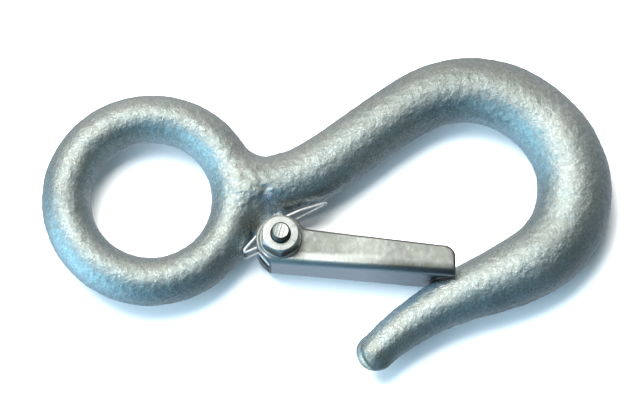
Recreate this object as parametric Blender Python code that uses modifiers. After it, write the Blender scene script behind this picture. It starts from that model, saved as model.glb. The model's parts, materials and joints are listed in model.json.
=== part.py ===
"""Forged eye hook with a spring latch.

The hook's own plane is parallel to XY. +X runs from the eye to the bowl, +Y is the
side the shank bows to, and the latch is on the -Y side. Its pivot axis is along Z,
with the nut on the +Z side. Shapes are drawn from the centre of the eye, on the
hook's middle plane. They are then moved together, so that the origin is under the
middle of the hook's outline, level with the outer face of the screw's head.
Dimensions are millimetres; MM turns them into metres.
"""
import math

import bmesh
import bpy
import numpy as np
from mathutils import Matrix, Vector

MM = 0.001
NAME = "eye_hook_with_latch"

# ---------------------------------------------------------------- forging sizes
EYE_R = 22.1            # centre line of the eye
EYE_SECTION_R = 6.25    # half the thickness of the eye's round stock
Z_RATIO = 0.86          # the hook's stock is an oval, thinner along Z

# hook stock from the neck to the tip: centre line x, y and half width in the plane
STOCK_STATIONS = (
    (28.6, 3.6, 7.6), (33.0, 4.2, 7.9), (38.6, 6.0, 7.9), (43.9, 8.7, 8.0),
    (51.7, 14.2, 7.9), (59.5, 20.0, 7.9), (67.3, 25.3, 8.1), (75.1, 28.9, 8.4),
    (84.2, 30.0, 8.7), (93.3, 27.7, 8.95), (100.6, 22.9, 9.1), (106.5, 15.9, 9.3),
    (109.6, 8.1, 9.5), (110.0, 0.0, 9.6), (108.0, -7.5, 9.55), (103.0, -14.2, 9.3),
    (96.3, -18.7, 8.9), (88.7, -22.3, 8.1), (80.8, -25.6, 7.2), (73.6, -29.4, 6.2),
    (66.8, -33.8, 5.5), (62.2, -37.4, 5.1), (58.3, -41.0, 4.6),
)
STOCK_STEPS = 6         # points between two stations
TIP_RINGS = 6           # rings that round the tip
TIP_RING_DIVISOR = 6.4  # above TIP_RINGS, so the last ring stops short of the axis
NECK_FILLET = 5.0       # blend between the eye and the neck
LUG_FILLET = 1.6        # blend at the root of the latch lug

PIVOT = (33.8, -12.2)   # latch pivot
LUG_ROOT = (28.6, -3.0)
LUG_ROOT_R = 4.5
LUG_R = 4.7
LUG_HALF_T = 2.2
LUG_EDGE_R = 0.5
LUG_DRILL_HALF = 8.0    # the drill reaches this far each way along Z

VOXEL = 1.0             # cell of the even skin
SKIN_TRIANGLES = 6200   # left after thinning

# ------------------------------------------------------------------ latch sizes
SHEET = 1.2             # sheet thickness
EAR_R = 6.5
EAR_STEPS = 26
EAR_DRILL_HALF = 9.0
EAR_HALF_W = 5.9        # outer face of each ear
END_HALF_W = 8.0        # outer face of each cheek at the free end
FLARE_START_X = 40.0    # the cheeks run parallel up to here, then flare
WEB_START = (30.7, -18.55)
WEB_END = (78.8, -22.5)
CHEEK_TOP_START = (39.7, -9.45)
CHEEK_TOP_END_Y = -14.9
CHEEK_CORNER_R = 3.2
BEND_R = 1.7            # width of the bevel that rounds the two folds
TIP_CLEARANCE = 0.35    # between the latch's scalloped end and the hook's tip
TIP_CUT_STATION = 14    # the clearance cutter follows the stock from this station

# --------------------------------------------------------------- hardware sizes
SCREW_R = 2.4
SCREW_TOP_Z = 13.2
SCREW_CHAMFER = 0.5
BORE_R = SCREW_R + 0.3  # every hole the screw passes through
STACK_GAP = 0.2         # between stacked parts
SEAT_Z = EAR_HALF_W + STACK_GAP     # inner faces of the washer and of the head
TURN_STEPS = 36

WASHER_R = 5.5
WASHER_T = 0.7
WASHER_CHAMFER = 0.15

HEX_FLATS = 9.3         # across the flats of the nut and of the head
HEX_CORNER_R = HEX_FLATS / math.sqrt(3)
HEX_BLANK_R = HEX_CORNER_R + 0.25           # clears the corners
HEX_FACE_R = HEX_FLATS / 2 - 0.12           # flat circle left on an outer face
HEX_CHAMFER = 0.55                          # height of the outer cone
NUT_T = 3.6
NUT_BASE_R = HEX_FLATS / 2 + 0.2            # circle left on the nut's inner face
NUT_BASE_CHAMFER = 0.35                     # height of the cone beside it
NUT_TOP_SINK = 0.35                         # 45 degree countersinks of the nut's hole
NUT_BASE_SINK = 0.25
NUT_TOP_OVERRUN = 0.5                       # hole cutter beyond the nut's faces
NUT_BASE_OVERRUN = 0.4
HEAD_T = 2.9
HEAD_OVERLAP = 0.5      # the shank runs this far into the head

# ----------------------------------------------------------------- spring sizes
WIRE_R = 0.36
COIL_R = 4.4            # to the middle of the wire
COIL_CENTRE = (PIVOT[0] - 0.7, PIVOT[1] + 0.95)
COIL_Z_IN = 2.85
COIL_Z_OUT = 4.0
COIL_STEPS = 26
LOOP_ANGLE = math.radians(111.0)    # where the loop's strand meets the coil
LEG_ANGLE = math.radians(141.0)     # where the leg leaves it
LOOP_TIP = (45.5, -0.95)
LOOP_TIP_R = 0.95
LOOP_TIP_STEPS = 4
LOOP_TIP_STEP_DEGREES = 16
LOOP_WIDE = (38.7, -3.8, 3.15)      # bend in the strand of the loop
LOOP_BEND_R = 6.0
LEG_BEND = (23.9, -15.9, 0.75)
LEG_RETURN = (28.7, -14.75, 3.0)
LEG_WEB_X = (30.9, 47.0)            # the leg follows the web between these
LEG_WEB_Z = 3.2
LEG_BEND_R = 0.55
LEG_LIFT = WIRE_R + 0.3             # wire's centre above the web's inside

# in the drawing's frame: middle of the outline, outer face of the head
ROW_ORIGIN = (45.7, -3.4, -(SEAT_Z + HEAD_T))

# name, base colour, roughness and metallic of each part's material
MATERIALS = {
    "forging": dict(name="galvanised_forging", color=(0.52, 0.55, 0.54),
                    roughness=0.45, metallic=0.9),
    "latch": dict(name="latch_sheet", color=(0.60, 0.60, 0.57), roughness=0.32, metallic=0.95),
    "spring": dict(name="spring_wire", color=(0.68, 0.68, 0.66), roughness=0.28, metallic=1.0),
    "washer": dict(name="washer_zinc", color=(0.66, 0.66, 0.64), roughness=0.30, metallic=1.0),
    "nut": dict(name="nut_zinc", color=(0.70, 0.70, 0.68), roughness=0.28, metallic=1.0),
    "screw": dict(name="screw_zinc", color=(0.72, 0.72, 0.70), roughness=0.26, metallic=1.0),
}


# ------------------------------------------------------------- scene and objects
def clear_scene():
    for obj in list(bpy.data.objects):
        bpy.data.objects.remove(obj, do_unlink=True)
    for coll in list(bpy.data.collections):
        bpy.data.collections.remove(coll)


def collection(name):
    coll = bpy.data.collections.new(name)
    bpy.context.scene.collection.children.link(coll)
    return coll


def move_to(obj, coll):
    for old in list(obj.users_collection):
        old.objects.unlink(obj)
    coll.objects.link(obj)


def material(name, color, roughness, metallic):
    mat = bpy.data.materials.new(name)
    mat.use_nodes = True
    shader = mat.node_tree.nodes["Principled BSDF"]
    shader.inputs["Base Color"].default_value = (*color, 1.0)
    shader.inputs["Roughness"].default_value = roughness
    shader.inputs["Metallic"].default_value = metallic
    mat.diffuse_color = (*color, 1.0)
    return mat


def mesh_object(name, bm, coll):
    mesh = bpy.data.meshes.new(name)
    bm.to_mesh(mesh)
    bm.free()
    obj = bpy.data.objects.new(name, mesh)
    coll.objects.link(obj)
    return obj


def evaluated_mesh(obj):
    bpy.context.view_layer.update()
    depsgraph = bpy.context.evaluated_depsgraph_get()
    depsgraph.update()
    return bpy.data.meshes.new_from_object(obj.evaluated_get(depsgraph))


def bake(obj):
    """Apply an object's modifiers."""
    mesh = evaluated_mesh(obj)
    obj.modifiers.clear()
    obj.data = mesh


def boolean(obj, cutter, operation):
    mod = obj.modifiers.new(operation.lower(), "BOOLEAN")
    mod.operation = operation
    mod.solver = "EXACT"
    mod.object = cutter


def hide(cutter):
    cutter.hide_render = True
    cutter.display_type = "WIRE"


def finish(obj, mat, sharp_degrees):
    """Give an object its one material, and smooth shading between sharp edges."""
    obj.data.materials.clear()
    obj.data.materials.append(mat)
    obj.data.shade_smooth()
    obj.data.set_sharp_from_angle(angle=math.radians(sharp_degrees))


# ------------------------------------------------------------------ basic solids
def curve_solid(name, points, coll, radii=None, closed=False, **settings):
    """A closed mesh made from a polyline curve; points are x, y, z in mm."""
    curve = bpy.data.curves.new(name, "CURVE")
    for key, value in settings.items():
        setattr(curve, key, value)
    spline = curve.splines.new("POLY")
    spline.points.add(len(points) - 1)
    for point, (x, y, z) in zip(spline.points, points):
        point.co = (x * MM, y * MM, z * MM, 1.0)
    if radii:
        for point, radius in zip(spline.points, radii):
            point.radius = radius
    spline.use_cyclic_u = closed
    curve_obj = bpy.data.objects.new(name, curve)
    coll.objects.link(curve_obj)
    mesh = evaluated_mesh(curve_obj)
    bpy.data.objects.remove(curve_obj, do_unlink=True)

    # the caps come as loose faces, so weld them on
    bm = bmesh.new()
    bm.from_mesh(mesh)
    bmesh.ops.remove_doubles(bm, verts=bm.verts, dist=0.01 * MM)
    bmesh.ops.recalc_face_normals(bm, faces=bm.faces)
    return mesh_object(name, bm, coll)


def pivot_prism(name, radius, z0, z1, coll, segments):
    """Regular prism on the pivot axis; its origin stays at the eye's centre."""
    bm = bmesh.new()
    bmesh.ops.create_cone(bm, cap_ends=True, segments=segments, radius1=radius * MM,
                          radius2=radius * MM, depth=(z1 - z0) * MM)
    bmesh.ops.translate(bm, verts=bm.verts,
                        vec=(PIVOT[0] * MM, PIVOT[1] * MM, (z0 + z1) / 2 * MM))
    return mesh_object(name, bm, coll)


def drill(name, half_length, coll):
    obj = pivot_prism(name, BORE_R, -half_length, half_length, coll, segments=32)
    hide(obj)
    return obj


def turned(name, profile, coll):
    """Solid turned about the pivot axis from (radius, z) pairs in mm."""
    bm = bmesh.new()
    verts = [bm.verts.new((radius * MM, 0.0, z * MM)) for radius, z in profile]
    for start, end in zip(verts, verts[1:]):
        bm.edges.new((start, end))
    obj = mesh_object(name, bm, coll)
    turn = obj.modifiers.new("turn", "SCREW")
    turn.angle = 2 * math.pi
    turn.steps = TURN_STEPS
    turn.render_steps = TURN_STEPS
    turn.use_merge_vertices = True
    turn.merge_threshold = 0.005 * MM
    obj.location = (PIVOT[0] * MM, PIVOT[1] * MM, 0.0)
    return obj


def turned_cutter(name, profile, coll):
    obj = turned(name, profile, coll)
    bake(obj)
    hide(obj)
    return obj


def arc(centre_x, centre_y, radius, start, sweep, steps):
    points = []
    for k in range(steps + 1):
        angle = start + sweep * k / steps
        points.append((centre_x + radius * math.cos(angle),
                       centre_y + radius * math.sin(angle)))
    return points


# ----------------------------------------------------------------- forging shape
def catmull_rom(stations, steps):
    """Points along a smooth curve through the stations (any number of columns)."""
    p = np.array(stations, dtype=float)
    p = np.vstack([2 * p[0] - p[1], p, 2 * p[-1] - p[-2]])
    rows = []
    for before, here, after, beyond in zip(p, p[1:], p[2:], p[3:]):
        for k in range(steps):
            t = k / steps
            rows.append(0.5 * (2 * here + (after - before) * t
                               + (2 * before - 5 * here + 4 * after - beyond) * t * t
                               + (3 * here - before - 3 * after + beyond) * t ** 3))
    rows.append(p[-2])
    return np.array(rows)


STOCK = catmull_rom(STOCK_STATIONS, STOCK_STEPS)


# Each field below takes rows of x, y, z (mm) and is near to a signed distance,
# negative inside the solid.
def smooth_union(a, b, blend):
    h = np.clip(0.5 + 0.5 * (b - a) / blend, 0.0, 1.0)
    return b + (a - b) * h - blend * h * (1.0 - h)


def stock_field(p):
    """The oval stock swept along the centre line."""
    starts, ends = STOCK[:-1], STOCK[1:]
    nearest = np.full(len(p), 1e9)      # squared distance in the plane
    width = np.zeros(len(p))
    for start, end in zip(starts, ends):
        along = end[:2] - start[:2]
        offset = p[:, :2] - start[:2]
        t = np.clip((offset @ along) / (along ** 2).sum(), 0.0, 1.0)
        distance2 = ((offset - t[:, None] * along) ** 2).sum(axis=1)
        closer = distance2 < nearest
        nearest = np.where(closer, distance2, nearest)
        width = np.where(closer, start[2] + t * (end[2] - start[2]), width)
    radius = np.sqrt(nearest + (p[:, 2] / Z_RATIO) ** 2)
    lean = np.abs(p[:, 2] / Z_RATIO) / np.maximum(radius, 1e-6)
    return (radius - width) * (1.0 - (1.0 - Z_RATIO) * lean)


def eye_field(p):
    ring = np.sqrt((np.hypot(p[:, 0], p[:, 1]) - EYE_R) ** 2 + p[:, 2] ** 2)
    return ring - EYE_SECTION_R


def lug_field(p):
    """A tapering flat lug with rounded edges."""
    root = np.array(LUG_ROOT)
    along = np.array(PIVOT) - root
    offset = p[:, :2] - root
    t = np.clip((offset @ along) / (along @ along), 0.0, 1.0)
    flat = np.sqrt(((offset - t[:, None] * along) ** 2).sum(axis=1))
    flat -= LUG_ROOT_R + t * (LUG_R - LUG_ROOT_R)
    tall = np.abs(p[:, 2]) - LUG_HALF_T
    edge = LUG_EDGE_R
    outside = np.hypot(np.maximum(flat + edge, 0.0), np.maximum(tall + edge, 0.0))
    return outside + np.minimum(np.maximum(flat, tall) + edge, 0.0) - edge


def forging_field(p):
    body = smooth_union(eye_field(p), stock_field(p), NECK_FILLET)
    return smooth_union(body, lug_field(p), LUG_FILLET)


def settle_on(points, field, rounds=5, step=0.02, damping=0.9, least_slope2=0.05):
    """Move points (mm) along the field's gradient on to its zero surface."""
    for _ in range(rounds):
        value = field(points)
        grad = np.zeros_like(points)
        for axis in range(3):
            nudge = np.zeros(3)
            nudge[axis] = step
            grad[:, axis] = (field(points + nudge) - field(points - nudge)) / (2 * step)
        slope2 = np.maximum((grad ** 2).sum(axis=1), least_slope2)
        points = points - grad * (value / slope2)[:, None] * damping
    return points


def stock_tube(name, coll, grow=0.0, first=0):
    """The stock, from row `first` of STOCK, as a tube with a rounded end at the tip."""
    rows = [tuple(row) for row in STOCK[first:]]
    end, before = STOCK[-1], STOCK[-2]
    along = (end[:2] - before[:2]) / np.hypot(*(end[:2] - before[:2]))
    for k in range(1, TIP_RINGS + 1):
        angle = k * math.pi / 2 / TIP_RING_DIVISOR
        rows.append((end[0] + along[0] * end[2] * math.sin(angle),
                     end[1] + along[1] * end[2] * math.sin(angle),
                     end[2] * math.cos(angle)))
    # a bevel of 1 mm, so each point's radius is the half width in mm
    obj = curve_solid(name, [(x, y, 0.0) for x, y, _ in rows], coll,
                      radii=[width + grow for _, _, width in rows],
                      dimensions="3D", bevel_depth=MM, bevel_resolution=6,
                      use_fill_caps=True)
    obj.data.transform(Matrix.Diagonal((1.0, 1.0, Z_RATIO, 1.0)))
    return obj


def lug_plate(coll):
    root, end = Vector(LUG_ROOT), Vector(PIVOT)
    side = (end - root).normalized()
    heading = math.atan2(side.y, side.x)
    outline = arc(end.x, end.y, LUG_R, heading - math.pi / 2, math.pi, 16)
    outline += arc(root.x, root.y, LUG_ROOT_R, heading + math.pi / 2, math.pi, 16)
    return curve_solid("lug_union", [(x, y, 0.0) for x, y in outline], coll, closed=True,
                       dimensions="2D", fill_mode="BOTH", extrude=LUG_HALF_T * MM)


def eye_ring(coll):
    bpy.ops.mesh.primitive_torus_add(major_radius=EYE_R * MM, minor_radius=EYE_SECTION_R * MM,
                                     major_segments=96, minor_segments=32)
    obj = bpy.context.object
    obj.name = "hook_forging"
    obj.data.name = "hook_forging"
    move_to(obj, coll)
    return obj


def build_forging(parts, cutters, mat):
    """Join eye, stock and lug, then settle an even skin on the blended field."""
    obj = eye_ring(parts)
    pieces = (stock_tube("stock_union", cutters), lug_plate(cutters))
    for piece in pieces:
        boolean(obj, piece, "UNION")
    bake(obj)
    for piece in pieces:
        bpy.data.objects.remove(piece, do_unlink=True)

    remesh = obj.modifiers.new("even_skin", "REMESH")
    remesh.mode = "VOXEL"
    remesh.voxel_size = VOXEL * MM
    remesh.adaptivity = 0.0
    bake(obj)

    points = np.empty(len(obj.data.vertices) * 3, dtype=np.float32)
    obj.data.vertices.foreach_get("co", points)
    points = settle_on(points.reshape(-1, 3).astype(float) / MM, forging_field) * MM
    obj.data.vertices.foreach_set("co", points.astype(np.float32).ravel())
    obj.data.update()

    thin = obj.modifiers.new("thin_out", "DECIMATE")
    thin.decimate_type = "COLLAPSE"
    thin.ratio = SKIN_TRIANGLES / (2 * len(obj.data.polygons))
    bake(obj)

    boolean(obj, drill("lug_bore", LUG_DRILL_HALF, cutters), "DIFFERENCE")
    finish(obj, mat, sharp_degrees=35)


# ------------------------------------------------------------------------- latch
def half_width(x):
    t = max(0.0, x - FLARE_START_X) / (WEB_END[0] - FLARE_START_X)
    return EAR_HALF_W + t * (END_HALF_W - EAR_HALF_W)


def web_y(x):
    t = (x - WEB_START[0]) / (WEB_END[0] - WEB_START[0])
    return WEB_START[1] + t * (WEB_END[1] - WEB_START[1])


def cheek_top_y(x):
    t = (x - CHEEK_TOP_START[0]) / (WEB_END[0] - CHEEK_TOP_START[0])
    return CHEEK_TOP_START[1] + t * (CHEEK_TOP_END_Y - CHEEK_TOP_START[1])


def ear_outline():
    """Arc of the ear, from the tangent through the web's rear corner to the top edge."""
    x, y = PIVOT
    rear = math.atan2(WEB_START[1] - y, WEB_START[0] - x)
    reach = math.hypot(WEB_START[0] - x, WEB_START[1] - y)
    first = (rear - math.acos(EAR_R / reach)) % (2 * math.pi)
    last = math.atan2(CHEEK_TOP_START[1] - y, CHEEK_TOP_START[0] - x)
    return arc(x, y, EAR_R, first, last - first, EAR_STEPS)


def flared_outline():
    """Top edge from the start of the flare, and the rounded corner at the free end."""
    corner_x = WEB_END[0] - CHEEK_CORNER_R
    corner_y = cheek_top_y(corner_x) - CHEEK_CORNER_R
    corner = arc(corner_x, corner_y, CHEEK_CORNER_R, math.pi / 2, -math.pi / 2, 8)
    return [(FLARE_START_X, cheek_top_y(FLARE_START_X))] + corner


def latch_surface(coll):
    """Outer surface of the latch: two cheeks joined by the web on the -Y side."""
    bm = bmesh.new()
    ear = ear_outline()
    outline = ear + flared_outline()
    split = len(ear)
    web_line = (WEB_START, (FLARE_START_X, web_y(FLARE_START_X)), WEB_END)
    web = {}
    for sign in (1, -1):
        top, low = [[bm.verts.new((x * MM, y * MM, sign * half_width(x) * MM))
                     for x, y in line] for line in (outline, web_line)]
        near = top[:split + 1] + [low[1], low[0]]
        far = top[split:] + [low[2], low[1]]
        for loop in (near, far):
            bm.faces.new(loop if sign < 0 else loop[::-1])
        web[sign] = low
    for k in (0, 1):
        bm.faces.new((web[1][k], web[1][k + 1], web[-1][k + 1], web[-1][k]))
    bmesh.ops.recalc_face_normals(bm, faces=bm.faces)
    # the sheet thickens inwards from this surface, so the web must face -Y
    web_face = min(bm.faces, key=lambda face: face.calc_center_median().y)
    if web_face.normal.y > 0:
        bmesh.ops.reverse_faces(bm, faces=bm.faces)
    return mesh_object("latch", bm, coll)


def build_latch(parts, cutters, mat):
    obj = latch_surface(parts)
    folds = obj.modifiers.new("folds", "BEVEL")
    folds.width = BEND_R * MM
    folds.segments = 4
    folds.limit_method = "ANGLE"
    folds.angle_limit = math.radians(40)
    sheet = obj.modifiers.new("sheet", "SOLIDIFY")
    sheet.thickness = SHEET * MM
    sheet.offset = -1.0
    sheet.use_even_offset = True
    bake(obj)

    bore = drill("ear_bore", EAR_DRILL_HALF, cutters)
    tip = stock_tube("tip_clearance", cutters, grow=TIP_CLEARANCE,
                     first=STOCK_STEPS * TIP_CUT_STATION)
    hide(tip)
    boolean(obj, bore, "DIFFERENCE")
    boolean(obj, tip, "DIFFERENCE")
    bake(obj)

    # origin on the pivot, so the latch turns about its own Z
    obj.data.transform(Matrix.Translation((-PIVOT[0] * MM, -PIVOT[1] * MM, 0.0)))
    obj.location = (PIVOT[0] * MM, PIVOT[1] * MM, 0.0)
    finish(obj, mat, sharp_degrees=30)


# ---------------------------------------------------------------------- hardware
def build_washer(parts, mat):
    """Plain washer between the +Z ear and the nut."""
    top = SEAT_Z + WASHER_T
    washer = turned("nut_washer", [
        (BORE_R, top), (WASHER_R - WASHER_CHAMFER, top), (WASHER_R, top - WASHER_CHAMFER),
        (WASHER_R, SEAT_Z), (BORE_R, SEAT_Z), (BORE_R, top)], parts)
    finish(washer, mat, sharp_degrees=30)


def build_nut(parts, cutters, mat):
    """Hexagon nut: chamfered by a turned blank, then bored and countersunk."""
    base = SEAT_Z + WASHER_T + STACK_GAP
    top = base + NUT_T
    nut = pivot_prism("pivot_nut", HEX_CORNER_R, base, top, parts, segments=6)
    blank = turned_cutter("nut_blank", [
        (0.0, top), (HEX_FACE_R, top), (HEX_BLANK_R, top - HEX_CHAMFER),
        (HEX_BLANK_R, base + NUT_BASE_CHAMFER), (NUT_BASE_R, base), (0.0, base)], cutters)
    hole_top = top + NUT_TOP_OVERRUN
    hole_base = base - NUT_BASE_OVERRUN
    hole = turned_cutter("nut_hole", [
        (0.0, hole_top), (BORE_R + (NUT_TOP_OVERRUN + NUT_TOP_SINK), hole_top),
        (BORE_R, top - NUT_TOP_SINK), (BORE_R, base + NUT_BASE_SINK),
        (BORE_R + (NUT_BASE_OVERRUN + NUT_BASE_SINK), hole_base), (0.0, hole_base)], cutters)
    boolean(nut, blank, "INTERSECT")
    boolean(nut, hole, "DIFFERENCE")
    finish(nut, mat, sharp_degrees=30)


def build_screw(parts, cutters, mat):
    """Plain shank with a chamfered +Z end and a hexagon head on the -Z side."""
    under = -SEAT_Z
    outer = under - HEAD_T
    shank_end = under - HEAD_OVERLAP
    screw = turned("pivot_screw", [
        (0.0, SCREW_TOP_Z), (SCREW_R - SCREW_CHAMFER, SCREW_TOP_Z),
        (SCREW_R, SCREW_TOP_Z - SCREW_CHAMFER), (SCREW_R, shank_end), (0.0, shank_end)], parts)
    bake(screw)
    head = pivot_prism("screw_head", HEX_CORNER_R, outer, under, cutters, segments=6)
    blank = turned_cutter("head_blank", [
        (0.0, under), (HEX_BLANK_R, under), (HEX_BLANK_R, outer + HEX_CHAMFER),
        (HEX_FACE_R, outer), (0.0, outer)], cutters)
    boolean(head, blank, "INTERSECT")
    bake(head)
    hide(head)
    boolean(screw, head, "UNION")
    finish(screw, mat, sharp_degrees=30)


# ------------------------------------------------------------------------ spring
def rounded(points, radius, steps=4):
    """Round the inner corners of a 3D polyline (mm)."""
    points = [np.array(point, dtype=float) for point in points]
    out = [points[0]]
    for before, here, after in zip(points, points[1:], points[2:]):
        length_in = np.linalg.norm(before - here)
        length_out = np.linalg.norm(after - here)
        to_before = (before - here) / length_in
        to_after = (after - here) / length_out
        half = math.acos(max(-1.0, min(1.0, float(to_before @ to_after)))) / 2
        # the arc takes less than half of each straight
        run = min(radius / max(math.tan(half), 1e-3), 0.45 * length_in, 0.45 * length_out)
        axis = (to_before + to_after) / np.linalg.norm(to_before + to_after)
        centre = here + axis * (run * math.tan(half) / math.sin(half))
        first = here + to_before * run - centre
        last = here + to_after * run - centre
        sweep = math.pi - 2 * half
        for k in range(steps + 1):
            t = k / steps
            out.append(centre + (math.sin((1 - t) * sweep) * first
                                 + math.sin(t * sweep) * last) / math.sin(sweep))
    out.append(points[-1])
    return out


def coil_point(t):
    """Point on the coil, t from 0 at the loop to 1 at the leg, after a full turn and more."""
    angle = LOOP_ANGLE + (2 * math.pi + LEG_ANGLE - LOOP_ANGLE) * t
    return (COIL_CENTRE[0] + COIL_R * math.cos(angle),
            COIL_CENTRE[1] + COIL_R * math.sin(angle),
            COIL_Z_IN + (COIL_Z_OUT - COIL_Z_IN) * t)


def half_loop():
    """Half of the hairpin loop: its rounded tip, then a strand that spreads to the coil."""
    back = Vector((LOOP_WIDE[0] - LOOP_TIP[0], LOOP_WIDE[1] - LOOP_TIP[1])).normalized()
    tip = []
    for k in range(LOOP_TIP_STEPS + 1):
        angle = math.radians(k * LOOP_TIP_STEP_DEGREES)
        setback = LOOP_TIP_R * (1 - math.cos(angle))
        tip.append((LOOP_TIP[0] + back.x * setback, LOOP_TIP[1] + back.y * setback,
                    LOOP_TIP_R * math.sin(angle)))
    strand = rounded([tip[-1], LOOP_WIDE, coil_point(0.0)], LOOP_BEND_R)
    return tip[:-1] + strand[:-1]


def spring_half():
    """The +Z half of the double spring, from the middle of the loop to the leg's end."""
    coil = [coil_point(k / COIL_STEPS) for k in range(COIL_STEPS + 1)]
    # out to the bend beside the eye, back on the coil's -Y side, then along the web
    leg = [coil[-1], LEG_BEND, LEG_RETURN]
    leg += [(x, web_y(x) + SHEET + LEG_LIFT, LEG_WEB_Z) for x in LEG_WEB_X]
    return half_loop() + coil + rounded(leg, LEG_BEND_R)[1:]


def build_spring(parts, mat):
    upper = spring_half()
    lower = [(x, y, -z) for x, y, z in upper]
    obj = curve_solid("latch_spring", upper[::-1] + lower[1:], parts,
                      dimensions="3D", bevel_depth=WIRE_R * MM, bevel_resolution=2,
                      use_fill_caps=True)
    finish(obj, mat, sharp_degrees=50)


def main():
    clear_scene()
    parts = collection(NAME)
    cutters = collection("cutters")
    mats = {part: material(**look) for part, look in MATERIALS.items()}
    build_forging(parts, cutters, mats["forging"])
    build_latch(parts, cutters, mats["latch"])
    build_washer(parts, mats["washer"])
    build_nut(parts, cutters, mats["nut"])
    build_screw(parts, cutters, mats["screw"])
    build_spring(parts, mats["spring"])
    for coll in (parts, cutters):
        for obj in coll.objects:
            obj.location -= Vector(ROW_ORIGIN) * MM


main()
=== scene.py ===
"""Looks for a forged eye hook with a spring latch.

The drawing datum is the eye's centre. The hook lies flat in the XY plane, symmetric about
z = 0: the shank leaves the eye along +X, the bowl turns round at large x and the mouth is
on the -Y side, closed by the latch. Pieces are modelled from the datum, with dimensions in
millimetres, and are moved by SHIFT into the product's own frame at the end.
"""
import json
import math

import bmesh
import bpy
import numpy as np
from mathutils import Matrix, Vector, noise


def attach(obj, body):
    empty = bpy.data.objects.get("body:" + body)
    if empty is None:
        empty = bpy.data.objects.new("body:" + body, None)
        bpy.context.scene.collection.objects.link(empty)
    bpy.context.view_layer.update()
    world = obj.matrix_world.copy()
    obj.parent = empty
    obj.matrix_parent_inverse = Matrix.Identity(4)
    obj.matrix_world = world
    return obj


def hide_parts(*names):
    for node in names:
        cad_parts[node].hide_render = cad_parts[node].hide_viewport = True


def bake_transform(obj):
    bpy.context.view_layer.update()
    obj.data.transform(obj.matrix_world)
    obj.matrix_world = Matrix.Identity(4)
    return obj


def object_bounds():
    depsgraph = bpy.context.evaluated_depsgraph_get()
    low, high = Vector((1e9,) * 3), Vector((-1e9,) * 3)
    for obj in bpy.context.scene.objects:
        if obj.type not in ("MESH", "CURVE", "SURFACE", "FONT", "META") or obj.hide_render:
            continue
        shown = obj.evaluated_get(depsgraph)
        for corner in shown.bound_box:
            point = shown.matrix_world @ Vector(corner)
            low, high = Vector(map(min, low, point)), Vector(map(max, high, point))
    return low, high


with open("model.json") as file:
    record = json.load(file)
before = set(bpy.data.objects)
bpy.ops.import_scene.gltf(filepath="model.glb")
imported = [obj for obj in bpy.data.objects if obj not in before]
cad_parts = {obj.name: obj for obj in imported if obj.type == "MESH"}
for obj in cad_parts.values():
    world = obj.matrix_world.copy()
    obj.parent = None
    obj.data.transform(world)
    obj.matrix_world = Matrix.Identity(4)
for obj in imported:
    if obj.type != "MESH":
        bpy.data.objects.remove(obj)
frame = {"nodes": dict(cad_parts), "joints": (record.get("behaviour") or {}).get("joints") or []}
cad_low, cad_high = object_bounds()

MM = 0.001

# ------------------------------------------------------------------ dimensions
EYE_R, EYE_SECTION_R = 22.1, 6.25
Z_RATIO = 0.86  # the bar's thickness along Z over its width in the XY plane
# the bar's centre line from the neck round the bowl to the tip: x, y, half width
STOCK_STATIONS = (
    (28.6, 3.6, 7.6), (33.0, 4.2, 7.9), (38.6, 6.0, 7.9), (43.9, 8.7, 8.0),
    (51.7, 14.2, 7.9), (59.5, 20.0, 7.9), (67.3, 25.3, 8.1), (75.1, 28.9, 8.4),
    (84.2, 30.0, 8.7), (93.3, 27.7, 8.95), (100.6, 22.9, 9.1), (106.5, 15.9, 9.3),
    (109.6, 8.1, 9.5), (110.0, 0.0, 9.6), (108.0, -7.5, 9.55), (103.0, -14.2, 9.3),
    (96.3, -18.7, 8.9), (88.7, -22.3, 8.1), (80.8, -25.6, 7.2), (73.6, -29.4, 6.2),
    (66.8, -33.8, 5.5), (62.2, -37.4, 5.1), (58.3, -41.0, 4.6),
)
STOCK_STEPS = 6  # smoothed points for each station
NECK_FILLET, LUG_FILLET = 5.0, 1.6

# the flat lug that carries the latch, tapering from its root to the pivot
PIVOT = (33.8, -12.2)
LUG_ROOT, LUG_ROOT_R, LUG_R = (28.6, -3.0), 4.5, 4.7
LUG_HALF_T, LUG_EDGE_R, BORE_R = 2.2, 0.5, 2.7
SHIFT = Vector(frame["joints"][0]["pos_m"]) - Vector((PIVOT[0] * MM, PIVOT[1] * MM, 0.0))

# the latch is a channel of sheet: a web on the -Y side and a cheek on each side in Z
SHEET, EAR_R, EAR_HALF_W, END_HALF_W, FLARE_START_X = 1.2, 6.5, 5.9, 8.0, 40.0
WEB_START, WEB_END = (30.7, -18.55), (78.8, -22.5)
WEB_SLOPE = (WEB_END[1] - WEB_START[1]) / (WEB_END[0] - WEB_START[0])
CHEEK_TOP_START, CHEEK_TOP_END_Y = (39.7, -9.45), -14.9  # the cheek's +Y edge
CHEEK_CORNER_R, BEND_R, EAR_HOLE_R = 3.2, 1.7, 2.62
EAR_STEPS, CORNER_STEPS = 64, 16
TIP_ROOM = 0.75         # gap left between the latch and the hook's tip
TIP_ROOM_STATION = 14   # where along the bar that room starts
SHEARED_R = 0.55        # rounding of the sheet's cut edges

HEX_FLATS, HEX_CORNER_LOSS = 9.3, 0.028  # across the flats; how far the corners are broken
SCREW_R, SCREW_TOP_Z, HEAD_T, SEAT_Z = 2.4, 13.2, 2.9, 6.1
WASHER_R, WASHER_T, NUT_T, STACK_GAP = 5.5, 0.7, 3.6, 0.2
THREAD_PITCH, THREAD_DEPTH, THREAD_START_Z, END_CHAMFER = 0.79, 0.42, 4.0, 0.42

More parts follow.
